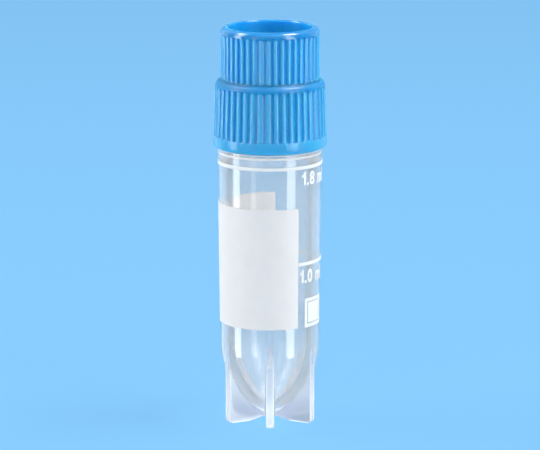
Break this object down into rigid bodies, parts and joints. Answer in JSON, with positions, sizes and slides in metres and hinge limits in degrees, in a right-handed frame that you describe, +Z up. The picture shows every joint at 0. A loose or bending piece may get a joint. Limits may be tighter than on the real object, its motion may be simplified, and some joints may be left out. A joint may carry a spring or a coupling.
{
  "type": "cryovial",
  "caption": "Self-standing cryogenic storage vial with a round bottom on a star foot and a two-tier screw cap that turns and lifts off.",
  "frame": {"origin": "centre of the star foot, on the surface that the vial stands on", "axes": "+Z up the vial's axis to the cap; -Y is the front, where the writing panel's right-hand part shows; +X is to the right"},
  "size_m": [0.0136, 0.0136, 0.048],
  "materials": {
    "clear_polypropylene": "smooth, slightly milky and see-through",
    "blue_polypropylene": "smooth moulded gloss, ribbed for grip",
    "silicone": "soft matte",
    "white_ink": "printed matte white that takes a pen"
  },
  "bodies": {
    "tube": {"tube": "clear_polypropylene", "writing_panel": "white_ink", "graduation_marks": "white_ink"},
    "seal": {"sealing_ring": "silicone"},
    "cap": {"cap": "blue_polypropylene"}
  },
  "joints": [
    {"name": "cap_lift", "type": "slide", "parent": "tube", "child": "seal", "axis": [0, 0, 1], "range_m": [0, 0.009]},
    {"name": "cap_unscrew", "type": "hinge", "parent": "seal", "child": "cap", "pos_m": [0, 0, 0.0333], "axis": [0, 0, 1], "range_deg": [0, 1080.1]}
  ],
  "couplings": [
    {"joint": "cap_unscrew", "follows": "cap_lift", "rad_per_m": 2094.4}
  ]
}
